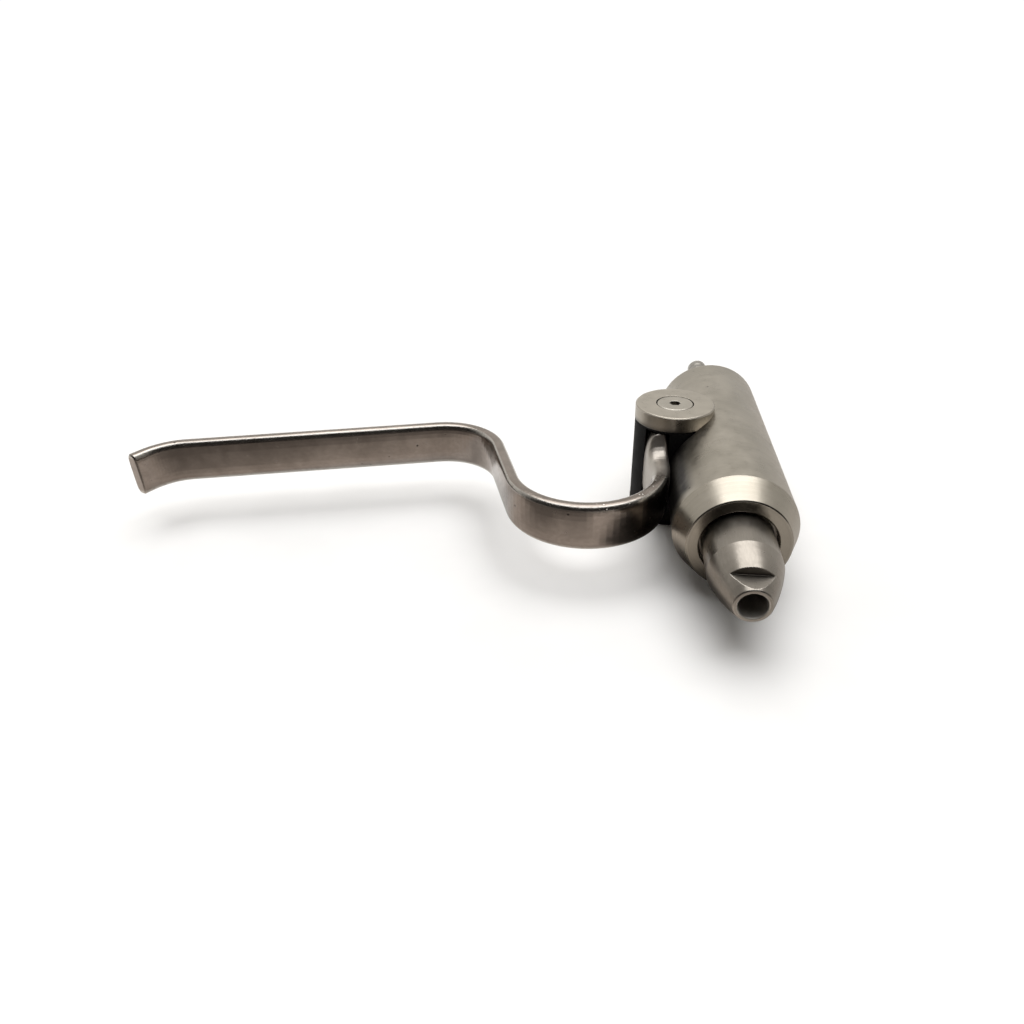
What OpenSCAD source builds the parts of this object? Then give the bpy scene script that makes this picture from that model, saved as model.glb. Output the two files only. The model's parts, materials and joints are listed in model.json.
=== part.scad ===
// Hand fuel nozzle: a straight steel barrel with a coned outlet, a side lever
// on a shoulder screw, and a sliding hollow valve stem inside.
// The outlet's centre is the origin, the barrel lies along +Y, the pivot along Z,
// and the lever reaches out to -X.

/* [Barrel] */
// Outside diameter of the barrel
barrel_d = 32; // [30:0.5:34]
// Length of the barrel
barrel_len = 86.5; // [86:0.5:96]
// How far the nozzle tip stands out of the barrel
tip_out = 24.2; // [20:0.2:30]
// Length of the cone that leads to the barrel's front face
nose_len = 7.4; // [3:0.2:8]
// Diameter of the barrel's flat front face
face_d = 26; // [24:0.5:28]
// Diameter of the counterbore around the nozzle tip
mouth_d = 19.6; // [19:0.2:22]

/* [Nozzle tip] */
// Diameter of the nozzle tip's straight part
tip_d = 18; // [16:0.5:18.5]
// Length of the nozzle tip's outer cone
cone_len = 13; // [9:0.5:16]
// Diameter of the outlet's end face
lip_d = 8.9; // [8:0.1:10]
// Diameter of the outlet bore
outlet_d = 6.8; // [5:0.1:7]
// Height of the wrench flats above the axis
flat_h = 4.6; // [4.5:0.1:6]
// Length of the wrench flats from the outlet
flat_len = 5.6; // [3:0.2:8]

/* [Pivot] */
// Distance of the pivot from the barrel's axis
pivot_side = 14.45; // [14:0.05:15]
// Distance of the pivot behind the barrel's front face
pivot_back = 47.85; // [46:0.05:50]
// Diameter of the two ears
ear_d = 22.9; // [22:0.1:23.5]
// Height of the ears' outer faces above the axis
ear_top = 17.75; // [17.25:0.05:18.25]
// Thickness of each ear
ear_t = 4.4; // [4:0.1:5]
// Diameter of the shoulder screw's shoulder
shoulder_d = 6; // [5:0.5:6]
// Diameter of the shoulder screw's head
screw_head_d = 10.4; // [9:0.1:11]
// Size of the hexagon socket across its flats
socket_af = 3; // [2.5:0.5:4]

/* [Lever] */
// Height of the lever strap
strap_h = 13.5; // [11:0.5:15]
// Thickness of the lever strap
strap_t = 4.3; // [3.6:0.1:4.6]
// Flatness of the strap's broad sides, 2 is an oval
side_power = 5; // [2.4:0.1:6]
// Flatness of the strap's long edges, 2 is an oval
edge_power = 3; // [2:0.1:4]
// Radius of the finger loop, to the middle of the strap
loop_r = 21.25; // [20:0.05:23]
// Turn of the finger loop
loop_turn = 141; // [135:0.5:150]
// Length of the straight between the loop and the elbow
neck_len = 21.1; // [15:0.1:25]
// Radius of the elbow
elbow_r = 18.5; // [14:0.5:22]
// Turn of the elbow
elbow_turn = 85; // [75:0.2:90]
// Length of the handle's straight part
handle_len = 78.4; // [60:0.2:100]
// Radius of the handle's turned end
flick_r = 15; // [10:0.5:20]
// Turn of the handle's end
flick_turn = 49.5; // [30:0.1:60]

/* [Valve] */
// Diameter of the hollow valve stem
stem_d = 7; // [6:0.5:7]
// Diameter of the passage through the stem
passage_d = 4; // [3:0.5:4.5]
// Diameter of the bore that the stem and its spring run in
chamber_d = 14.4; // [14:0.2:15]
// Diameter of the thrust collar on the stem
collar_d = 11.2; // [10.5:0.1:11.4]
// Thickness of the return spring's wire
wire_d = 0.8; // [0.6:0.1:1]
// Number of turns of the return spring
spring_turns = 7; // [5:1:8]

/* [Inlet] */
// Outside diameter of the inlet tail
tail_d = 7; // [6:0.5:7]
// Distance from the outlet to the end of the inlet tail
overall_len = 150.5; // [145:0.5:160]

/* [Hidden] */
$fn = 96;

steel = [0.62, 0.59, 0.55];
dark_steel = [0.46, 0.42, 0.38];
black = [0.08, 0.08, 0.08];
bronze = [0.72, 0.53, 0.3];
brass = [0.8, 0.66, 0.36];
seal = [0.13, 0.13, 0.14];

over = 1;            // overrun of a cutting tool past a face
seat_over = 0.01;    // overrun of a cut that must end on its seat
run_gap = 0.03;      // radial clearance of a running fit
face_gap = 0.05;     // end clearance between faces that turn on each other

// Stations along the barrel's axis, from the outlet
face_y = tip_out;
back_y = face_y + barrel_len;
pivot_y = face_y + pivot_back;
mouth_y = face_y + 3;
tip_end_y = 41;
guide_y = 41.5;
guide_flange_y = 46;
guide_end_y = 51.5;
seat_t = 1;
collar_back_y = pivot_y - 2.05;
collar_t = 3;
collar_y = collar_back_y - collar_t;
bush_y = pivot_y + 12.6;
plug_y = bush_y + 5.6;
plug_flange_t = 4;
plug_end_y = back_y + plug_flange_t;
stem_front_y = 40;
stem_end_y = 106;
tail_socket_y = 107;
tail_nut_len = 4.4;
tail_gasket_t = 0.8;
hole_y = 45.6;
tip_seal_y = 29;
front_seal_y = 43.2;
rear_seal_y = 48.2;
plug_seal_y = 94.4;
tail_seal_y = 98;
lock_y = 104;

// Radii
barrel_r = barrel_d / 2;
tip_r = tip_d / 2;
ear_r = ear_d / 2;
shoulder_r = shoulder_d / 2;
stem_r = stem_d / 2;
chamber_r = chamber_d / 2;
collar_r = collar_d / 2;
tail_r = tail_d / 2;
plug_r = 9;
cell_r = 5.5;
tip_seal_r = 0.7;
cone_bulge = 0.42;
bush_r = 4.2;
hub_r = ear_r - 0.1;
pocket_r = ear_r + 0.5;
plug_flange_r = 11.5;
plug_flats = 19;
plug_seal_r = 0.8;
lock_r = 1.5;
tail_thread_r = 5;
screw_thread_r = 2.5;
fork_screw_r = 1.5;
collar_screw_r = 1;
seal_section_r = 0.85;
groove_depth = 2 * seal_section_r + run_gap;

// Heights along the pivot, from the axis
ear_in = ear_top - ear_t;
hub_h = ear_in - 0.6;
washer_t = 0.5;
screw_head_h = 3.1;

// The shallow flat on the barrel's side that leaves room for the strap
rest_flat_x = -15.25;
rest_flat_y = 45;

// The fork's flat on the hub and its two tines, from the pivot
flat_x = 6.5;
fork_plate_t = 2;
tine_r = 2;
tine_in = stem_r + 0.4;
tine_out = 5.8;
fork_screw_z = 8.8;
fork_screw_in = 1.9;

// The spring's wire, a helix between its seat and the collar
coil_r = 4.6;
coil_steps = 18;
wire_sides = 6;
wire_r = wire_d / 2;
wire_gap = 0.03;
spring_y1 = guide_end_y + seat_t + wire_r + wire_gap;
spring_rise = collar_y - wire_r - wire_gap - spring_y1;
rings = spring_turns * coil_steps;

// The strap's root, from the pivot
root_x = -4.27;
root_y = -4.6;
root_lean = 5.2;
root_len = 9.7;
root_bend_r = 32;
root_bend_turn = 25.5;
root_extra = 2.1;
root_power = 2.8;
root_fillet_r = 5.9;
root_fillet_end = 12;
root_high = 5.6;
root_taper_from = 9.4;
root_taper_to = 26.4;
flick_len = 3.4;
end_edge = 0.4;
section_sides = 32;
dowel_z = 4;
dowel_r = 1.25;
dowel_y = -7.2;
dowel_x = -7.8;
dowel_len = 8.4;

// ---------- shared shapes ----------

// A shape turned about the barrel's axis, from [radius, station] points
module turned(points) {
  rotate([-90, 0, 0]) rotate_extrude() polygon(points);
}

// Diameter over the corners of a hexagon, from its width across the flats
function hex_d(across) = across / cos(30);

// A cylinder along the barrel's axis between two stations
module along(y1, y2, r) {
  translate([0, y1, 0]) rotate([-90, 0, 0]) cylinder(h = y2 - y1, r = r);
}

// A ring along the barrel's axis between two stations
module sleeve(y1, y2, r_out, r_in) {
  turned([[r_in, y1], [r_out, y1], [r_out, y2], [r_in, y2]]);
}

// A hexagonal prism along the barrel's axis, given across its flats
module hex_along(y1, y2, across) {
  translate([0, y1, 0]) rotate([-90, 0, 0]) cylinder(h = y2 - y1, d = hex_d(across), $fn = 6);
}

// A round seal that lies around the barrel's axis
module seal_ring(y, centre_r, section_r) {
  translate([0, y, 0]) rotate([-90, 0, 0]) rotate_extrude() translate([centre_r, 0])
    circle(r = section_r, $fn = 32);
}

// Places its children with the pivot as their origin
module at_pivot() {
  translate([-pivot_side, pivot_y, 0]) children();
}

// ---------- barrel and nozzle ----------

// The barrel's bore steps from the mouth to the tip's thread, the chamber and the plug's thread
module barrel() {
  rim = 0.6;
  edge = 0.25;
  mouth_r = mouth_d / 2;
  color(steel) difference() {
    turned([
      [mouth_r + edge, face_y], [face_d / 2 - edge, face_y], [face_d / 2 + edge / 3, face_y + edge],
      [barrel_r, face_y + nose_len], [barrel_r, back_y - rim], [barrel_r - rim, back_y],
      [plug_r, back_y], [plug_r, plug_y], [chamber_r, plug_y], [chamber_r, guide_flange_y],
      [tip_r, guide_flange_y], [tip_r, mouth_y], [mouth_r, mouth_y], [mouth_r, face_y + edge]
    ]);
    at_pivot() cylinder(h = 2 * ear_in, r = pocket_r, center = true);
    translate([rest_flat_x - barrel_r, rest_flat_y, -barrel_r])
      cube([barrel_r, pivot_y - rest_flat_y, 2 * barrel_r]);
    for (side = [0, 1]) mirror([0, 0, side])
      at_pivot() translate([0, 0, ear_in - seat_over]) cylinder(h = ear_t + over, r = ear_r);
    translate([0, lock_y, -barrel_r - over])
      cylinder(h = barrel_r - plug_r + 2 * over, r = lock_r);
  }
}

// One ear, let into the barrel's side; its outer rim is broken by a small chamfer
module ear() {
  rim = 0.35;
  at_pivot() translate([0, 0, ear_in]) rotate_extrude() polygon([
    [0, 0], [ear_r, 0], [ear_r, ear_t - rim], [ear_r - rim, ear_t], [0, ear_t]
  ]);
}

module upper_ear() {
  head_gap = 0.3;
  color(steel) difference() {
    ear();
    at_pivot() translate([0, 0, ear_in - over]) cylinder(h = ear_t + 2 * over, r = shoulder_r);
    at_pivot() translate([0, 0, ear_top - screw_head_h])
      cylinder(h = ear_t, r = screw_head_d / 2 + head_gap);
  }
}

module lower_ear() {
  color(steel) difference() {
    mirror([0, 0, 1]) ear();
    at_pivot() translate([0, 0, -ear_top - over]) cylinder(h = ear_t + 2 * over, r = screw_thread_r);
  }
}

// Shoulder screw: head in the upper ear, thread in the lower ear
module pivot_screw() {
  head_edge = 0.2;
  socket_depth = 2;
  thread_edge = 0.4;
  thread_end = 0.3 - ear_top;
  color(steel) at_pivot() difference() {
    rotate_extrude() polygon([
      [0, thread_end], [screw_thread_r - thread_edge, thread_end],
      [screw_thread_r, thread_end + thread_edge],
      [screw_thread_r, -ear_in], [shoulder_r, -ear_in], [shoulder_r, ear_top - screw_head_h],
      [screw_head_d / 2, ear_top - screw_head_h], [screw_head_d / 2, ear_top - head_edge],
      [screw_head_d / 2 - head_edge, ear_top], [0, ear_top]
    ]);
    translate([0, 0, ear_top - socket_depth])
      cylinder(h = socket_depth + over, d = hex_d(socket_af), $fn = 6);
  }
}

// The tip's shank screws into the barrel and holds the guide and its gasket
module nozzle_tip() {
  cell_y = 33;
  cone_steps = 6;
  lip_r = lip_d / 2;
  lip_edge = 0.2;
  bore_r = outlet_d / 2;
  bore_edge = 0.25;
  shank_edge = 0.5;
  groove_gap = 0.1;
  groove_y = tip_seal_y - tip_seal_r - groove_gap;
  groove_end_y = tip_seal_y + tip_seal_r + groove_gap;
  groove_r = tip_r - 2 * tip_seal_r;
  cone = [for (k = [1:cone_steps])
    let (f = k / cone_steps)
    [lip_r + (tip_r - lip_r) * f + 4 * cone_bulge * f * (1 - f), cone_len * f]];
  color(steel) difference() {
    turned(concat(
      [[bore_r + bore_edge, 0], [lip_r - lip_edge, 0], [lip_r + lip_edge / 3, lip_edge]],
      cone,
      [
        [tip_r, groove_y], [groove_r, groove_y], [groove_r, groove_end_y], [tip_r, groove_end_y],
        [tip_r, tip_end_y - shank_edge], [tip_r - shank_edge, tip_end_y], [cell_r, tip_end_y],
        [cell_r, cell_y], [bore_r, cell_y - 2], [bore_r, bore_edge]
      ]
    ));
    for (side = [0, 1]) mirror([0, 0, side])
      translate([-tip_r, -over, flat_h]) cube([2 * tip_r, flat_len + over, tip_r]);
  }
}

module tip_o_ring() {
  color(seal) seal_ring(tip_seal_y, tip_r - tip_seal_r, tip_seal_r);
}

module guide_gasket() {
  edge_gap = 0.2;
  color(seal) sleeve(tip_end_y, guide_y, tip_r - edge_gap, cell_r);
}

// ---------- lever ----------

module pivot_bush() {
  color(bronze) at_pivot() translate([0, 0, -hub_h]) difference() {
    cylinder(h = 2 * hub_h, r = bush_r);
    translate([0, 0, -over]) cylinder(h = 2 * (hub_h + over), r = shoulder_r + run_gap);
  }
}

// One thin washer between the hub and an ear
module thrust_washer() {
  color(black) at_pivot() translate([0, 0, hub_h + face_gap]) difference() {
    cylinder(h = washer_t, r = hub_r);
    translate([0, 0, -over]) cylinder(h = washer_t + 2 * over, r = shoulder_r);
  }
}

module upper_thrust_washer() {
  thrust_washer();
}

module lower_thrust_washer() {
  mirror([0, 0, 1]) thrust_washer();
}

// The two dowels that hold the strap's root in the hub
module dowel(r) {
  for (side = [-1, 1]) translate([dowel_x, dowel_y, side * dowel_z]) rotate([0, 90, 0])
    cylinder(h = dowel_len, r = r);
}

module strap_dowels() {
  color(dark_steel) at_pivot() dowel(dowel_r);
}

// The hub has a flat for the fork and a slot for the strap's root
module lever_hub() {
  slot_w = strap_t + root_extra;
  cut_h = 2 * (hub_h + over);
  color(black) at_pivot() difference() {
    cylinder(h = 2 * hub_h, r = hub_r, center = true);
    cylinder(h = cut_h, r = bush_r, center = true);
    translate([flat_x, -hub_r, -cut_h / 2]) cube([hub_r, 2 * hub_r, cut_h]);
    translate([root_x, root_y, 0]) rotate(root_lean)
      translate([strap_t / 2 - slot_w, -2 * hub_r, -cut_h / 2]) cube([slot_w, 2 * hub_r, cut_h]);
    dowel(dowel_r);
    for (side = [-1, 1]) translate([flat_x - fork_screw_in, 0, side * fork_screw_z]) rotate([0, 90, 0])
      cylinder(h = fork_screw_in + over, r = fork_screw_r);
  }
}

// The strap's path as [length or radius, turn, steps]: a straight has no turn,
// a positive turn is to the left. It starts at the root and ends at the handle's tip.
STRAP_PATH = [
  [root_len, 0, 12], [root_bend_r, -root_bend_turn, 14], [loop_r, -loop_turn, 32],
  [neck_len, 0, 2], [elbow_r, elbow_turn, 18],
  [handle_len, 0, 3], [flick_r, flick_turn, 12], [flick_len, 0, 1]
];

function run_length(seg) = seg[1] == 0 ? seg[0] : seg[0] * abs(seg[1]) * PI / 180;

// Where a share f of a segment ends, as [x, y, heading, distance from the root]
function walk(from, seg, f) =
  let (
    a = from[2],
    turn = seg[1] * f,
    side = sign(seg[1]),
    step = seg[1] == 0
      ? [seg[0] * f * cos(a), seg[0] * f * sin(a)]
      : seg[0] * side * [sin(a + turn) - sin(a), cos(a) - cos(a + turn)]
  )
  [from[0] + step[0], from[1] + step[1], a + turn, from[3] + run_length(seg) * f];

function strap_start(i) =
  i == 0 ? [root_x, root_y, root_lean - 90, 0] : walk(strap_start(i - 1), STRAP_PATH[i - 1], 1);

// Every station along the path, without the shared ones
function strap_stations() = concat(
  [strap_start(0)],
  [for (i = [0:len(STRAP_PATH) - 1])
    let (from = strap_start(i), steps = STRAP_PATH[i][2])
    for (k = [1:steps]) walk(from, STRAP_PATH[i], k / steps)]
);

// A signed power, for the section's crowned outline
function power(value, exponent) = sign(value) * pow(abs(value), exponent);

// How far the strap's root rises above its long edge, to the hub's end in a concave curve
function root_rise(s) =
  let (along = min(root_fillet_r, max(0, root_fillet_end - s)))
  min(root_high, root_fillet_r - sqrt(root_fillet_r * root_fillet_r - along * along));

// The strap's section at a station: [across, up] points around a crowned bar.
// The root is thicker on its inner side and narrows as it rises; inset draws an end in.
function strap_section(s, inset) =
  let (
    taper = min(1, max(0, (s - root_taper_from) / (root_taper_to - root_taper_from))),
    extra = root_extra * (1 + cos(180 * taper)) / 2,
    rise = root_rise(s),
    flatness = side_power + (root_power - side_power) * rise / root_high,
    half_t = strap_t / 2 - inset,
    half_h = strap_h / 2 + rise - inset
  )
  [for (k = [0:section_sides - 1])
    let (
      a = 360 * (k + 0.5) / section_sides,
      across = half_t * power(cos(a), 2 / edge_power),
      inner = across < 0 ? 1 + extra / half_t : 1
    )
    [across * inner, half_h * power(sin(a), 2 / flatness)]];

// The section's points in space, its across axis to the left of the heading
function strap_ring(station, inset) = [for (p = strap_section(station[3], inset))
  [station[0] - p[0] * sin(station[2]), station[1] + p[0] * cos(station[2]), p[1]]];

module strap_body() {
  stations = strap_stations();
  tip = stations[len(stations) - 1];
  end = [tip[0] + end_edge * cos(tip[2]), tip[1] + end_edge * sin(tip[2]), tip[2], tip[3] + end_edge];
  ring_list = concat([for (s = stations) strap_ring(s, 0)], [strap_ring(end, end_edge)]);
  sides = len(ring_list[0]);
  last = len(ring_list) - 1;
  points = [for (ring = ring_list) for (p = ring) p];
  walls = [for (i = [0:last - 1], s = [0:sides - 1])
    let (next = (s + 1) % sides)
    [i * sides + s, i * sides + next, (i + 1) * sides + next, (i + 1) * sides + s]];
  caps = [[for (s = [sides - 1:-1:0]) s], [for (s = [0:sides - 1]) last * sides + s]];
  polyhedron(points, concat(walls, caps), convexity = 10);
}

module lever_strap() {
  color(dark_steel) at_pivot() difference() {
    strap_body();
    dowel(dowel_r);
  }
}

// Steel fork on the hub: its tines pass each side of the stem and push the collar
module push_fork() {
  plate_y = 5;
  plate_z = 11;
  tine_h = tine_out - tine_in;
  color(dark_steel) at_pivot() difference() {
    union() {
      translate([flat_x, -plate_y, -plate_z]) cube([fork_plate_t, 2 * plate_y, 2 * plate_z]);
      for (side = [0, 1]) mirror([0, 0, side]) translate([0, 0, tine_in]) {
        translate([flat_x + fork_plate_t / 2, -tine_r, 0])
          cube([pivot_side - flat_x - fork_plate_t / 2, 2 * tine_r, tine_h]);
        translate([pivot_side, 0, 0]) cylinder(h = tine_h, r = tine_r);
      }
    }
    for (side = [-1, 1]) translate([flat_x - over, 0, side * fork_screw_z]) rotate([0, 90, 0])
      cylinder(h = fork_plate_t + 2 * over, r = fork_screw_r);
  }
}

// The two screws that hold the fork on the hub's flat
module fork_screws() {
  head_h = 1.4;
  head_r = 2.4;
  socket_y = 0.5;
  socket = 1.5;
  color(steel) at_pivot() for (side = [-1, 1])
    translate([flat_x - fork_screw_in, 0, side * fork_screw_z]) rotate([0, 90, 0]) difference() {
      union() {
        cylinder(h = fork_screw_in + fork_plate_t, r = fork_screw_r);
        translate([0, 0, fork_screw_in + fork_plate_t]) cylinder(h = head_h, r = head_r);
      }
      translate([0, 0, fork_screw_in + fork_plate_t + socket_y])
        cylinder(h = head_h, d = hex_d(socket), $fn = 6);
    }
}

// ---------- valve ----------

// Hollow stem: closed at the front, with four cross holes that the guide covers at rest
module valve_stem() {
  hole_r = 0.8;
  end_wall = 2;
  stem_edge = 0.5;
  color(steel) difference() {
    turned([
      [0, stem_front_y], [stem_r - stem_edge, stem_front_y], [stem_r, stem_front_y + stem_edge],
      [stem_r, stem_end_y - stem_edge], [stem_r - stem_edge, stem_end_y], [0, stem_end_y]
    ]);
    along(stem_front_y + end_wall, stem_end_y + over, passage_d / 2);
    for (turn = [0, 90]) translate([0, hole_y, 0]) rotate([0, turn, 0])
      cylinder(h = 2 * (stem_r + over), r = hole_r, center = true);
    collar_screw_pair();
  }
}

// The two set screws that lock the collar, from dimples in the stem to the collar's rim
module collar_screw_pair() {
  dimple = 0.3;
  for (side = [0, 1]) mirror([side, 0, 0])
    translate([stem_r - dimple, collar_y + collar_t / 2, 0]) rotate([0, 90, 0])
      cylinder(h = collar_r - stem_r, r = collar_screw_r);
}

module thrust_collar() {
  color(dark_steel) difference() {
    sleeve(collar_y, collar_back_y, collar_r, stem_r);
    collar_screw_pair();
  }
}

module collar_screws() {
  color(black) collar_screw_pair();
}

// A point of the spring's wire: step i along the helix, side s around the wire
function coil_point(i, s) =
  let (
    turn = 360 * i / coil_steps,
    around = 360 * s / wire_sides,
    r = coil_r + wire_r * cos(around)
  )
  [r * cos(turn), spring_y1 + spring_rise * i / rings + wire_r * sin(around), r * sin(turn)];

module return_spring() {
  points = [for (i = [0:rings], s = [0:wire_sides - 1]) coil_point(i, s)];
  walls = [for (i = [0:rings - 1], s = [0:wire_sides - 1])
    let (next = (s + 1) % wire_sides)
    [i * wire_sides + s, i * wire_sides + next, (i + 1) * wire_sides + next, (i + 1) * wire_sides + s]];
  first = [[for (s = [wire_sides - 1:-1:0]) s]];
  last = [[for (s = [0:wire_sides - 1]) rings * wire_sides + s]];
  color(dark_steel) polyhedron(points, concat(walls, first, last), convexity = 10);
}

module spring_seat() {
  edge_gap = 0.1;
  bore_gap = 0.2;
  color(dark_steel)
    sleeve(guide_end_y, guide_end_y + seat_t, chamber_r - edge_gap, stem_r + bore_gap);
}

// Brass guide with two seal grooves; its flange is clamped behind the nozzle tip
module front_guide() {
  bore_r = stem_r + run_gap;
  color(brass) difference() {
    turned([
      [bore_r, guide_y], [tip_r, guide_y], [tip_r, guide_flange_y],
      [chamber_r, guide_flange_y], [chamber_r, guide_end_y], [bore_r, guide_end_y]
    ]);
    for (y = [front_seal_y, rear_seal_y])
      along(y - seal_section_r, y + seal_section_r, stem_r + groove_depth);
  }
}

module stem_o_rings() {
  color(seal) for (y = [front_seal_y, rear_seal_y])
    seal_ring(y, stem_r + run_gap / 2 + seal_section_r, seal_section_r);
}

module rear_guide() {
  color(bronze) sleeve(bush_y, plug_y, chamber_r, stem_r + run_gap);
}

// Threaded plug that closes the barrel, seals the stem's end and takes the inlet tail
module rear_plug() {
  flange_edge = 0.8;
  lock_depth = 1.2;
  seal_floor_r = plug_r - 2 * plug_seal_r;
  color(steel) difference() {
    union() {
      turned([
        [0, plug_y], [plug_r, plug_y], [plug_r, plug_seal_y - plug_seal_r],
        [seal_floor_r, plug_seal_y - plug_seal_r],
        [seal_floor_r, plug_seal_y + plug_seal_r], [plug_r, plug_seal_y + plug_seal_r],
        [plug_r, back_y], [0, back_y]
      ]);
      intersection() {
        turned([
          [0, back_y], [plug_flange_r, back_y], [plug_flange_r, plug_end_y - flange_edge],
          [plug_flange_r - flange_edge, plug_end_y], [0, plug_end_y]
        ]);
        translate([-plug_flats / 2, back_y, -plug_flange_r])
          cube([plug_flats, plug_flange_t, 2 * plug_flange_r]);
      }
    }
    along(plug_y - over, tail_socket_y + over, stem_r + run_gap);
    along(tail_seal_y - seal_section_r, tail_seal_y + seal_section_r, stem_r + groove_depth);
    along(tail_socket_y, plug_end_y + over, tail_thread_r);
    translate([0, lock_y, -plug_r - over]) cylinder(h = lock_depth + over, r = lock_r);
  }
}

module plug_o_ring() {
  color(seal) seal_ring(plug_seal_y, plug_r - plug_seal_r, plug_seal_r);
}

module tail_o_ring() {
  color(seal) seal_ring(tail_seal_y, stem_r + run_gap / 2 + seal_section_r, seal_section_r);
}

// Grub screw under the barrel that stops the plug from turning
module plug_lock_screw() {
  length = 6.4;
  depth = 1.2;
  socket = 1.5;
  socket_depth = 2;
  color(black) translate([0, lock_y, depth - plug_r - length]) difference() {
    cylinder(h = length, r = lock_r);
    translate([0, 0, -over]) cylinder(h = socket_depth + over, d = hex_d(socket), $fn = 6);
  }
}

module tail_gasket() {
  edge_gap = 0.1;
  bore_gap = 0.3;
  color(seal) sleeve(tail_socket_y, tail_socket_y + tail_gasket_t, tail_thread_r - edge_gap,
    passage_d / 2 + bore_gap);
}

// Hose tail: threaded shank, hexagon and a tube with three retaining grooves
module inlet_tail() {
  nut_af = 11;
  nut_round_r = nut_af / 2 + 1.5;
  nut_edge = 1;
  end_taper = 0.8;
  bore_r = passage_d / 2 + 0.2;
  grooves = 3;
  groove = 0.35;
  groove_len = 1.4;
  groove_pitch = 3.5;
  first_groove_y = overall_len - 12;
  shank_y = tail_socket_y + tail_gasket_t;
  nut_y = plug_end_y + tail_nut_len;
  color(steel) difference() {
    union() {
      along(shank_y, plug_end_y, tail_thread_r);
      intersection() {
        hex_along(plug_end_y, nut_y, nut_af);
        turned([
          [0, plug_end_y], [nut_round_r, plug_end_y], [nut_round_r, nut_y - nut_edge],
          [nut_af / 2, nut_y], [0, nut_y]
        ]);
      }
      turned([
        [0, nut_y - nut_edge], [tail_r, nut_y - nut_edge], [tail_r, overall_len - end_taper],
        [tail_r - end_taper, overall_len], [0, overall_len]
      ]);
    }
    along(shank_y - over, overall_len + over, bore_r);
    for (i = [0:grooves - 1])
      let (y = first_groove_y + i * groove_pitch, end = y + groove_len)
        turned([[tail_r - groove, y], [tail_r + over, y], [tail_r + over, end], [tail_r, end]]);
  }
}

barrel();
upper_ear();
lower_ear();
pivot_screw();
pivot_bush();
upper_thrust_washer();
lower_thrust_washer();
lever_hub();
lever_strap();
strap_dowels();
push_fork();
fork_screws();
valve_stem();
thrust_collar();
collar_screws();
return_spring();
spring_seat();
nozzle_tip();
tip_o_ring();
guide_gasket();
front_guide();
stem_o_rings();
rear_guide();
rear_plug();
plug_o_ring();
plug_lock_screw();
tail_o_ring();
inlet_tail();
tail_gasket();
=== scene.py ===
"""Fuel nozzle: materials, return spring, floor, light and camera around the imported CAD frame."""
import json
from math import cos, radians, sin

import bpy
from mathutils import Matrix, Vector


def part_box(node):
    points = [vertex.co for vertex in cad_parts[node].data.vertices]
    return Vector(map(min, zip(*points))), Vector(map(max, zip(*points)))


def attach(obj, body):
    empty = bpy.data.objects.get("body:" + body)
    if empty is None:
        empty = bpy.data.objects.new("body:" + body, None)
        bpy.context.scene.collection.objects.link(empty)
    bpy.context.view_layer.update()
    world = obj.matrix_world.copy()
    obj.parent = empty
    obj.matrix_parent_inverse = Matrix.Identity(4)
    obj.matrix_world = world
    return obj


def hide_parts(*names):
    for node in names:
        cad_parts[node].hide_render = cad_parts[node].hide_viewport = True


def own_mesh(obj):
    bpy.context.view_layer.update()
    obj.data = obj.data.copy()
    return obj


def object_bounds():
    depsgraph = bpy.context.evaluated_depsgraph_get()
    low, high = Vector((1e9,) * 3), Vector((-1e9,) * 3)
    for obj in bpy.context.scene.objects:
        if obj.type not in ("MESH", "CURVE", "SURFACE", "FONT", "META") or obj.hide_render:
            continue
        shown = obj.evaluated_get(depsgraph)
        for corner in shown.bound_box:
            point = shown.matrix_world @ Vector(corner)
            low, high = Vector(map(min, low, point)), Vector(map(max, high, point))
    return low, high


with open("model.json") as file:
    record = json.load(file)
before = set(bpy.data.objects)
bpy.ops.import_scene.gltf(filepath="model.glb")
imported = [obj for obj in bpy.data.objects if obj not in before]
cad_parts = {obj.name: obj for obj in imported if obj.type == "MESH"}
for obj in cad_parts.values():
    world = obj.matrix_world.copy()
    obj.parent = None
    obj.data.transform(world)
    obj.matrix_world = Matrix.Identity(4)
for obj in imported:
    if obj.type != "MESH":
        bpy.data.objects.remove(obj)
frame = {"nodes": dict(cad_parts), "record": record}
CAD_BOUNDS = [[float(v) for v in corner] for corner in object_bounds()]

MM = 0.001
RECORD = frame["record"]
JOINTS = {joint["name"]: joint for joint in RECORD["behaviour"]["joints"]}
MOUNTS = {mount["name"]: mount for mount in RECORD["mounts"]}
SLOT_OF = {part["node"]: part["material_slot"] for part in RECORD["subparts"]}

PIVOT = Vector(JOINTS["lever_pivot"]["pos_m"])
BORE_R = MOUNTS["outlet"]["dims"]["r_mm"] * MM
FLOOR_Z = CAD_BOUNDS[0][2]
FACE_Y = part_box("barrel")[0][1]
EAR_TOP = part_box("upper_ear")[1][2]
STRAP_HALF = 13.5 * MM / 2  # half the strap's height along its handle and its loop


# ---------- node trees ----------

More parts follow.
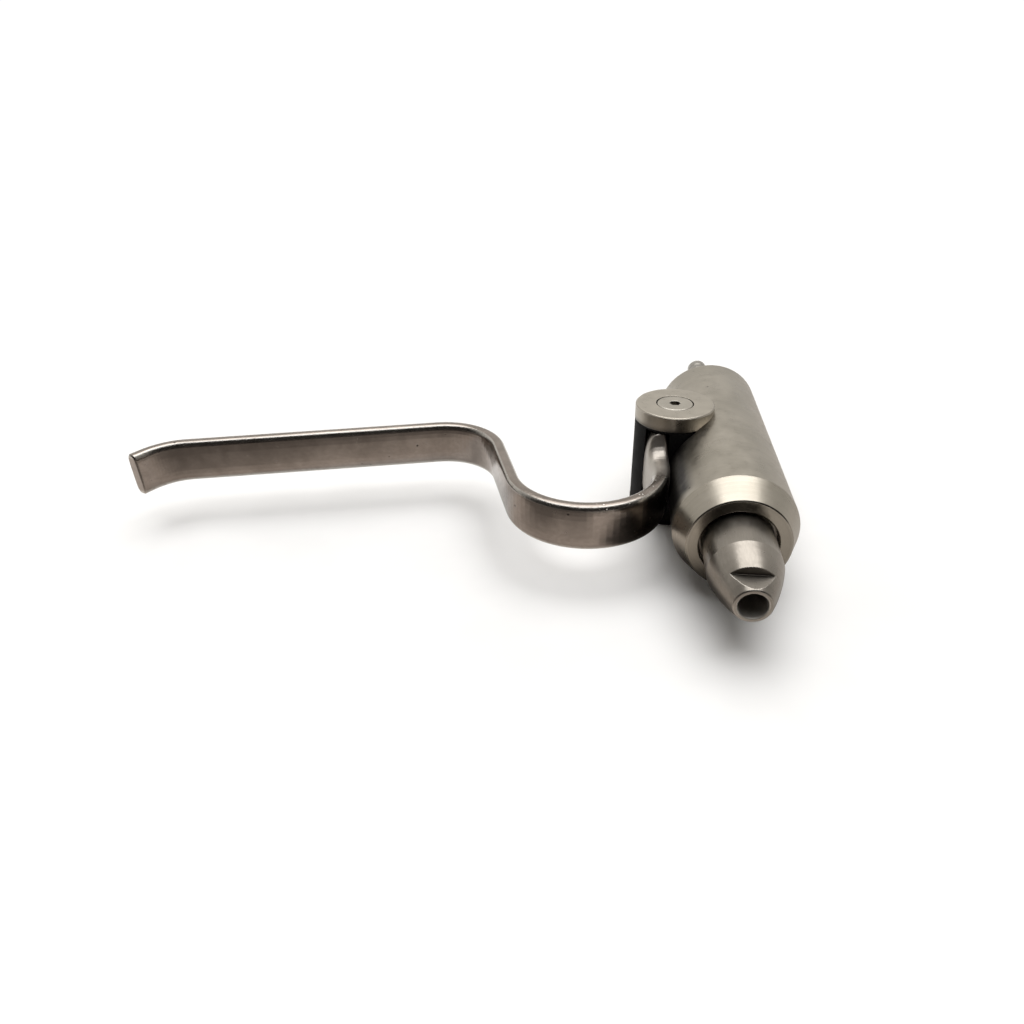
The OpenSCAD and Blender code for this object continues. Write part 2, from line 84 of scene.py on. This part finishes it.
class Nodes:
    """A node tree, with short calls that add a node and return its output socket."""

    def __init__(self, tree):
        self.tree = tree
        self.tree.nodes.clear()

    def add(self, kind):
        return self.tree.nodes.new("ShaderNode" + kind)

    def link(self, source, target):
        self.tree.links.new(source, target)

    def feed(self, socket, value):
        if isinstance(value, bpy.types.NodeSocket):
            self.link(value, socket)
        else:
            socket.default_value = value

    def parts(self, vector):
        """The x, y and z of a place, or the red, green and blue of a colour."""
        node = self.add("SeparateXYZ")
        self.link(vector, node.inputs[0])
        return node.outputs

    def math(self, operation, a, b=0.0):
        node = self.add("Math")
        node.operation = operation
        self.feed(node.inputs[0], a)
        self.feed(node.inputs[1], b)
        return node.outputs[0]

    def times(self, first, *others):
        for other in others:
            first = self.math("MULTIPLY", first, other)
        return first

    def span(self, value, low, high, to_low=0.0, to_high=1.0, smooth=True):
        """Value from low..high to to_low..to_high, held at the ends."""
        node = self.add("MapRange")
        node.interpolation_type = "SMOOTHSTEP" if smooth else "LINEAR"
        self.feed(node.inputs["Value"], value)
        for name, number in (("From Min", low), ("From Max", high), ("To Min", to_low), ("To Max", to_high)):
            node.inputs[name].default_value = number
        return node.outputs["Result"]

    def blend(self, factor, a, b):
        """Colour a where the factor is 0 and colour b where it is 1."""
        node = self.add("Mix")
        node.data_type = "RGBA"
        self.feed(node.inputs["Factor"], factor)
        for socket, value in ((node.inputs[6], a), (node.inputs[7], b)):
            self.feed(socket, value if isinstance(value, bpy.types.NodeSocket) else (*value, 1.0))
        return node.outputs[2]


class Shader(Nodes):
    """A material built up in layers that change its colour, roughness and normal."""

    def __init__(self, name):
        self.material = bpy.data.materials.new(name)
        self.material.use_nodes = True
        super().__init__(self.material.node_tree)
        output = self.add("OutputMaterial")
        self.principled = self.add("BsdfPrincipled")
        self.link(self.principled.outputs[0], output.inputs["Surface"])
        self.place = self.add("TexCoord").outputs["Object"]
        self.x, self.y, self.z = self.parts(self.place)
        self.color = None
        self.rough = None
        self.normal = None

    def noise(self, vector, per_metre=1.0, detail=3.0, rough=0.55):
        node = self.add("TexNoise")
        self.link(vector, node.inputs["Vector"])
        node.inputs["Scale"].default_value = per_metre
        node.inputs["Detail"].default_value = detail
        node.inputs["Roughness"].default_value = rough
        return node.outputs["Fac"]

    def grains(self, per_metre):
        """Noise with its own fineness along x, y and z."""
        node = self.add("VectorMath")
        node.operation = "MULTIPLY"
        self.link(self.place, node.inputs[0])
        node.inputs[1].default_value = per_metre
        return self.noise(node.outputs[0], rough=0.6)

    def turned(self, out_per_metre, along_per_metre, waver):
        """Noise in rings round the y axis, as a lathe leaves them."""
        off_axis = self.radius(self.x, self.z)
        node = self.add("CombineXYZ")
        self.feed(node.inputs[0], self.times(off_axis, out_per_metre))
        self.feed(node.inputs[1], self.times(self.y, along_per_metre))
        self.feed(node.inputs[2], waver)
        return self.noise(node.outputs[0], rough=0.6)

    def scattered(self, per_metre):
        """Distance to the nearest of a set of scattered points, and that point's own random number."""
        node = self.add("TexVoronoi")
        self.link(self.place, node.inputs["Vector"])
        node.inputs["Scale"].default_value = per_metre
        return node.outputs["Distance"], self.parts(node.outputs["Color"])[0]

    def radius(self, a, b):
        return self.math("SQRT", self.math("ADD", self.times(a, a), self.times(b, b)))

    def round_edges(self, radius):
        """Rounds the normal over hard edges. Gives 1 on such an edge, falling to 0 at the radius."""
        bevel = self.add("Bevel")
        bevel.samples = 6
        bevel.inputs["Radius"].default_value = radius
        self.normal = bevel.outputs[0]
        dot = self.add("VectorMath")
        dot.operation = "DOT_PRODUCT"
        self.link(self.normal, dot.inputs[0])
        self.link(self.add("NewGeometry").outputs["Normal"], dot.inputs[1])
        return self.span(dot.outputs["Value"], 0.995, 0.9)

    def hollows(self, reach):
        """1 deep in the object's own hollows and inner corners, 0 on its open faces."""
        node = self.add("AmbientOcclusion")
        node.only_local = True
        node.samples = 8
        node.inputs["Distance"].default_value = reach
        return self.span(node.outputs["AO"], 0.9, 0.45)

    def tint(self, mask, color):
        self.color = self.blend(mask, self.color, color)

    def roughen(self, mask, amount):
        self.rough = self.math("ADD", self.rough, self.times(mask, amount))

    def bump(self, height, distance):
        node = self.add("Bump")
        node.inputs["Strength"].default_value = 1.0
        node.inputs["Distance"].default_value = distance
        self.link(height, node.inputs["Height"])
        self.link(self.normal, node.inputs["Normal"])
        self.normal = node.outputs[0]

    def dent(self, mask, depth):
        self.bump(self.times(mask, -1.0), depth)

    def finish(self, metallic=1.0, **constants):
        """Wires the layers to the surface. Each constant is a socket's name with _ for its spaces."""
        self.feed(self.principled.inputs["Base Color"], self.color)
        self.feed(self.principled.inputs["Roughness"], self.rough)
        if self.normal is not None:
            self.link(self.normal, self.principled.inputs["Normal"])
        self.principled.inputs["Metallic"].default_value = metallic
        for name, value in constants.items():
            self.principled.inputs[name.replace("_", " ")].default_value = value
        return self.material


def shade(color, factor):
    return [channel * factor for channel in color]


# ---------- steel ----------

# How many marks of each kind there are in a metre.
BLOTCHES = 70.0
CLOUDS = 260.0
PIT_CELLS = 330.0
KNOCK_CELLS = 1100.0
SPECKS = 2400.0
TURNED_ALONG = 3600.0
TURNED_OUT = 5200.0

# Colour of worn edges, which also stands for a painted highlight on them.
EDGE_WEAR_AND_HIGHLIGHT = (0.74, 0.71, 0.66)
# Colour of the painted shade in the steel's hollows and inner corners.
HOLLOW_SHADE = (0.05, 0.044, 0.038)
PIT_FLOOR = (0.03, 0.025, 0.02)
# Colour of the painted shade on the barrel's side beside the strap.
FLANK_SHADE = (0.035, 0.033, 0.032)
FRESH_CUT = (0.62, 0.6, 0.56)
# Colour of the painted light on the strap's root.
ROOT_LIGHT = (0.44, 0.41, 0.37)
# Colour of the painted light inside the outlet bore.
BORE_LIGHT = (0.5, 0.48, 0.45)
HOLLOW_REACH = 1.6 * MM


def steel(name, light, dark, worn, rough, pits, grain=None, vary=0.05, edge=0.25 * MM):
    """Satin steel with blotches, tool marks, pits, worn edges that also carry a painted highlight, and
    painted shade in hollows.

    grain is the fineness of its marks along x, y and z, per metre. Without it the marks are turned ones.
    """
    s = Shader(name)
    blotch = s.noise(s.place, BLOTCHES, 4.0, 0.6)
    cloud = s.noise(s.place, CLOUDS)
    patches = s.math("ADD", s.times(blotch, 0.65), s.times(cloud, 0.35))
    s.color = s.blend(s.span(patches, 0.35, 0.66), dark, light)
    marks = s.grains(grain) if grain else s.turned(TURNED_OUT, TURNED_ALONG, s.times(blotch, 0.7))
    speck = s.noise(s.place, SPECKS, 2.0, 0.6)
    s.tint(s.span(marks, 0.3, 0.7, 0.0, 0.16), shade(dark, 0.62))

    edges = s.round_edges(edge)
    hollow = s.hollows(HOLLOW_REACH)
    # Worn edges, partly a painted highlight: hard edges lightened towards the worn colour.
    wear_and_highlight = s.times(edges, s.span(cloud, 0.3, 0.6, 0.35, 1.0), s.span(hollow, 0.05, 0.3, 1.0, 0.0))
    s.tint(wear_and_highlight, worn)
    # Painted shade: the object's own hollows and inner corners darkened by ambient occlusion.
    s.tint(s.times(hollow, 0.8), HOLLOW_SHADE)
    distance, chance = s.scattered(PIT_CELLS)
    pit = s.times(s.span(distance, 0.16, 0.07), s.span(chance, 1.0 - 0.22 * pits, 1.0 - 0.21 * pits))
    s.tint(s.times(pit, 0.75), PIT_FLOOR)

    smears = s.span(cloud, 0.3, 0.7, rough - vary, rough + vary)
    s.rough = s.math("ADD", smears, s.span(marks, 0.3, 0.7, -0.03, 0.04))
    s.roughen(wear_and_highlight, -0.1)
    s.bump(s.math("ADD", s.times(marks, 0.6), s.times(speck, 0.4)), 0.005 * MM)
    s.dent(pit, 0.05 * MM)
    return s


def barrel_steel():
    """Turned steel with a smoother front, painted shade on the front and beside the strap, painted light on
    ear tops.
    """
    light, dark = (0.41, 0.376, 0.323), (0.33, 0.302, 0.255)
    s = steel("barrel_steel", light, dark, EDGE_WEAR_AND_HIGHLIGHT, rough=0.33, pits=0.25)
    front = s.span(s.y, FACE_Y + 0.4 * MM, FACE_Y + 0.2 * MM)
    s.roughen(front, -0.13)
    # Painted shade: the front face darkened.
    s.tint(s.times(front, 0.3), shade(dark, 0.5))
    # Painted shade: the barrel's side beside the strap darkened nearly to black.
    strap_side_shade = s.times(
        s.span(s.x, -10.4 * MM, -13.4 * MM),
        s.span(s.y, FACE_Y + 7.5 * MM, FACE_Y + 12 * MM),
        s.span(s.y, PIVOT.y + 4 * MM, PIVOT.y - 2 * MM),
        s.span(s.z, 15 * MM, 12.5 * MM))
    s.tint(s.times(strap_side_shade, s.span(s.noise(s.place, CLOUDS), 0.3, 0.6, 0.9, 1.0)), FLANK_SHADE)
    s.roughen(strap_side_shade, 0.1)
    # Painted light: the ear's top face made paler.
    ear_top_light = s.span(s.z, EAR_TOP - 0.15 * MM, EAR_TOP - 0.05 * MM)
    s.tint(s.times(ear_top_light, 0.5), shade(light, 1.15))
    return s.finish()


def tip_steel():
    """Steel brushed along the tip, with painted light in its bore, which is also duller."""
    s = steel("tip_steel", (0.298, 0.272, 0.24), (0.244, 0.222, 0.195), EDGE_WEAR_AND_HIGHLIGHT, rough=0.31, pits=0.2,
              grain=(2600.0, 260.0, 2600.0), vary=0.015)
    lit_bore = s.span(s.radius(s.x, s.z), BORE_R + 0.2 * MM, BORE_R + 0.1 * MM)
    # Painted light: the bore's inside made paler.
    s.tint(lit_bore, BORE_LIGHT)
    s.roughen(lit_bore, 0.3)
    return s.finish()


def lever_steel():
    """Darker smooth steel: round edges rubbed and painted with a highlight, loop corners knocked, painted
    light on the root.
    """
    worn = (0.46, 0.437, 0.405)
    s = steel("lever_steel", (0.32, 0.278, 0.247), (0.235, 0.202, 0.178), worn, rough=0.21, pits=0.8,
              grain=(700.0, 700.0, 1100.0), vary=0.03, edge=0.5 * MM)
    height = s.math("ABSOLUTE", s.z)
    # Wear and painted highlight: the strap's rounded top and bottom edges lightened.
    round_edge = s.times(
        s.span(height, 0.76 * STRAP_HALF, 0.88 * STRAP_HALF),
        s.span(height, 0.985 * STRAP_HALF, 0.95 * STRAP_HALF))
    uneven = s.span(s.noise(s.place, 900.0, 3.0, 0.7), 0.3, 0.5, 0.45, 1.0)
    s.tint(s.times(round_edge, uneven), worn)
    distance, chance = s.scattered(KNOCK_CELLS)
    knocks = s.times(
        s.span(distance, 0.34, 0.2),
        s.span(chance, 0.62, 0.66),
        s.span(height, 0.78 * STRAP_HALF, 0.86 * STRAP_HALF),
        s.span(s.x, -37 * MM, -33 * MM),
        s.span(s.y, 50 * MM, 46 * MM))
    s.tint(knocks, FRESH_CUT)
    s.dent(knocks, 0.08 * MM)
    lit_root = s.times(s.span(s.x, -31 * MM, -26 * MM), s.span(s.y, 44 * MM, 52 * MM))
    # Painted light: the strap's root made paler.
    s.tint(s.times(lit_root, 0.75), ROOT_LIGHT)
    s.roughen(lit_root, 0.2)
    return s.finish()


def screw_steel():
    """Paler faced steel."""
    return steel("screw_steel", (0.47, 0.437, 0.38), (0.41, 0.38, 0.33), (0.76, 0.73, 0.68), rough=0.3,
                 pits=0.2, grain=(500.0, 3200.0, 500.0)).finish()


def plain_metal(name, light, dark, rough):
    """A turned metal whose edges are brighter."""
    worn = [min(1.0, channel) for channel in shade(light, 1.35)]
    return steel(name, light, dark, worn, rough, pits=0.2).finish()


# ---------- plastic and rubber ----------

def matt(name, light, dark, worn, rough, grains):
    """Matt plastic or rubber with a fine skin, dusty patches and rubbed edges."""
    s = Shader(name)
    patch = s.noise(s.place, 160.0, 4.0, 0.6)
    skin = s.noise(s.place, grains, 3.0, 0.6)
    s.color = s.blend(s.span(patch, 0.35, 0.68), dark, light)
    s.tint(s.span(skin, 0.45, 0.75, 0.0, 0.35), shade(light, 1.6))
    s.tint(s.times(s.round_edges(0.2 * MM), 0.6), worn)
    s.rough = s.span(patch, 0.3, 0.7, rough - 0.08, rough + 0.08)
    s.bump(skin, 0.02 * MM)
    return s.finish(metallic=0.0, Specular_IOR_Level=0.12)


# ---------- materials on the nodes ----------

PLAIN_METALS = {  # lighter colour, darker colour, roughness
    "plug_steel": ((0.35, 0.332, 0.302), (0.285, 0.268, 0.242), 0.34),
    "stem_steel": ((0.60, 0.59, 0.56), (0.52, 0.51, 0.48), 0.22),
    "hard_steel": ((0.33, 0.31, 0.29), (0.24, 0.22, 0.20), 0.38),
    "spring_steel": ((0.45, 0.44, 0.41), (0.34, 0.33, 0.30), 0.28),
    "guide_brass": ((0.72, 0.55, 0.26), (0.60, 0.44, 0.19), 0.3),
    "bronze": ((0.58, 0.40, 0.21), (0.44, 0.29, 0.14), 0.42),
}
MATT_SKINS = {  # lighter, darker and rubbed edges' colour, roughness, grains in a metre
    "hub_black": ((0.009, 0.0088, 0.0088), (0.006, 0.0058, 0.0058), (0.02, 0.019, 0.018), 0.7, 1500.0),
    "black_screw": ((0.035, 0.034, 0.033), (0.02, 0.019, 0.018), (0.16, 0.15, 0.14), 0.38, 1500.0),
    "seal_rubber": ((0.020, 0.020, 0.021), (0.012, 0.012, 0.013), (0.04, 0.04, 0.04), 0.62, 900.0),
}
MATERIALS = {
    "barrel_steel": barrel_steel(),
    "tip_steel": tip_steel(),
    "lever_steel": lever_steel(),
    "screw_steel": screw_steel(),
    **{slot: plain_metal(slot, *look) for slot, look in PLAIN_METALS.items()},
    **{slot: matt(slot, *look) for slot, look in MATT_SKINS.items()},
}

for node, obj in frame["nodes"].items():
    obj.data.materials.clear()
    obj.data.materials.append(MATERIALS[SLOT_OF[node]])


# ---------- return spring ----------

SPRING_TURNS = 7
STEPS_PER_TURN = 36
WIRE_SIDES = 12
WIRE_R = 0.39 * MM


def coil_mesh(name, coil_r, start_y, end_y):
    """Round wire wound round the y axis, with flat ends."""
    count = SPRING_TURNS * STEPS_PER_TURN
    points = []
    for step in range(count + 1):
        turn = radians(360.0 * step / STEPS_PER_TURN)
        middle_y = start_y + (end_y - start_y) * step / count
        for side in range(WIRE_SIDES):
            around = radians(360.0 * side / WIRE_SIDES)
            out = coil_r + WIRE_R * cos(around)
            points.append((out * cos(turn), middle_y + WIRE_R * sin(around), out * sin(turn)))
    faces = [tuple(reversed(range(WIRE_SIDES))), tuple(range(count * WIRE_SIDES, (count + 1) * WIRE_SIDES))]
    for step in range(count):
        here, there = step * WIRE_SIDES, (step + 1) * WIRE_SIDES
        for side in range(WIRE_SIDES):
            after = (side + 1) % WIRE_SIDES
            faces.append((here + side, here + after, there + after, there + side))
    mesh = bpy.data.meshes.new(name)
    mesh.from_pydata(points, [], faces)
    mesh.polygons.foreach_set("use_smooth", [len(face) == 4 for face in faces])
    return mesh


def make_spring():
    """A smooth coil in the space of the CAD spring."""
    low, high = (Vector(corner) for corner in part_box("return_spring"))
    mesh = coil_mesh("spring_coil", high.z - WIRE_R, low.y + WIRE_R, high.y - WIRE_R)
    mesh.materials.append(MATERIALS["spring_steel"])
    spring = bpy.data.objects.new("spring_coil", mesh)
    bpy.context.collection.objects.link(spring)
    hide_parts("return_spring")
    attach(spring, "barrel")
    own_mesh(spring)


make_spring()


# ---------- floor ----------

FLOOR_HALF = 3.0
FLOOR_GAP = 0.1 * MM


def floor_in_metal(s):
    """The floor as the metal reflects it: pale behind the object and darker round it, as black cards do."""
    lever_y = s.math(
        "SUBTRACT",
        s.span(s.x, -55 * MM, -85 * MM, 34 * MM, 64 * MM),
        s.span(s.x, -34 * MM, -20 * MM, 0.0, 39 * MM))
    ahead_of_lever = s.math("SUBTRACT", lever_y, s.y)
    front = s.blend(s.span(ahead_of_lever, 16 * MM, 56 * MM), (0.78, 0.72, 0.67), (0.22, 0.20, 0.185))
    color = s.blend(s.span(s.y, 58 * MM, 46 * MM), (0.86, 0.85, 0.84), front)
    right = s.span(s.x, -12 * MM, 30 * MM)
    color = s.blend(right, color, (0.60, 0.57, 0.54))
    under_barrel = s.times(
        s.times(s.span(s.x, -32 * MM, -18 * MM), s.span(s.x, 30 * MM, 12 * MM)),
        s.times(s.span(s.y, 3 * MM, 13 * MM), s.span(s.y, 120 * MM, 100 * MM)))
    return s.blend(under_barrel, color, (0.09, 0.083, 0.078))


def make_floor():
    """A plain pale floor just under the object."""
    z = FLOOR_Z - FLOOR_GAP
    near, far = -FLOOR_HALF, FLOOR_HALF
    mesh = bpy.data.meshes.new("floor")
    mesh.from_pydata([(near, near, z), (far, near, z), (far, far, z), (near, far, z)], [], [(0, 1, 2, 3)])
    floor = bpy.data.objects.new("floor", mesh)
    bpy.context.collection.objects.link(floor)
    s = Shader("floor")
    fibre = s.noise(s.place, 30.0, 3.0, 0.5)
    pale = s.blend(s.span(fibre, 0.3, 0.7), (0.88, 0.875, 0.87), (0.92, 0.915, 0.91))
    s.color = s.blend(s.add("LightPath").outputs["Is Glossy Ray"], pale, floor_in_metal(s))
    s.rough = 0.8
    mesh.materials.append(s.finish(metallic=0.0))


make_floor()


# ---------- light ----------

ROOM_FRONT = (0.035, 0.032, 0.03)
ROOM_BACK = (0.86, 0.84, 0.80)


def make_room():
    """A soft room, bright behind the object and dim in front of it, white where the camera sees it."""
    world = bpy.data.worlds.new("studio")
    world.use_nodes = True
    n = Nodes(world.node_tree)
    output = n.add("OutputWorld")
    room = n.add("Background")
    backdrop = n.add("Background")
    backdrop.inputs["Color"].default_value = (1.0, 1.0, 1.0, 1.0)
    backdrop.inputs["Strength"].default_value = 1.05
    x, y, _ = n.parts(n.add("TexCoord").outputs["Generated"])
    n.link(n.blend(n.span(y, -0.45, 0.45), ROOM_FRONT, ROOM_BACK), room.inputs["Color"])
    n.link(n.span(x, -0.2, 0.7, 1.0, 0.8, smooth=False), room.inputs["Strength"])
    choose = n.add("MixShader")
    n.link(n.add("LightPath").outputs["Is Camera Ray"], choose.inputs[0])
    n.link(room.outputs[0], choose.inputs[1])
    n.link(backdrop.outputs[0], choose.inputs[2])
    n.link(choose.outputs[0], output.inputs["Surface"])
    bpy.context.scene.world = world


def make_overhead():
    """One broad soft light from nearly straight above."""
    data = bpy.data.lights.new("overhead", "SUN")
    data.energy = 2.5
    data.angle = radians(66.0)
    overhead = bpy.data.objects.new("overhead", data)
    toward = Vector((0.03, 0.12, 1.0))
    overhead.rotation_euler = toward.to_track_quat("Z", "Y").to_euler()
    bpy.context.collection.objects.link(overhead)


make_room()
make_overhead()
bpy.context.scene.view_settings.view_transform = "Standard"


# ---------- camera ----------

AIM = PIVOT + Vector((-44.15, -36.85, 0.0)) * MM
DISTANCE = 197.65 * MM
TURN, HEIGHT, ROLL = 8.42, 31.3, -1.69  # degrees: round the object, up from the floor, about the view


def make_camera():
    """A close wide camera in front of the outlet, looking down on the lever and the barrel."""
    data = bpy.data.cameras.new("camera")
    data.lens = 25.49
    data.sensor_width = 36.0
    data.clip_start = 5 * MM
    facing = (Matrix.Rotation(radians(TURN), 4, "Z")
              @ Matrix.Rotation(radians(90.0 - HEIGHT), 4, "X")
              @ Matrix.Rotation(radians(ROLL), 4, "Z"))
    camera = bpy.data.objects.new("camera", data)
    camera.matrix_world = Matrix.Translation(AIM + facing.to_3x3() @ Vector((0.0, 0.0, DISTANCE))) @ facing
    bpy.context.collection.objects.link(camera)
    bpy.context.scene.camera = camera


make_camera()
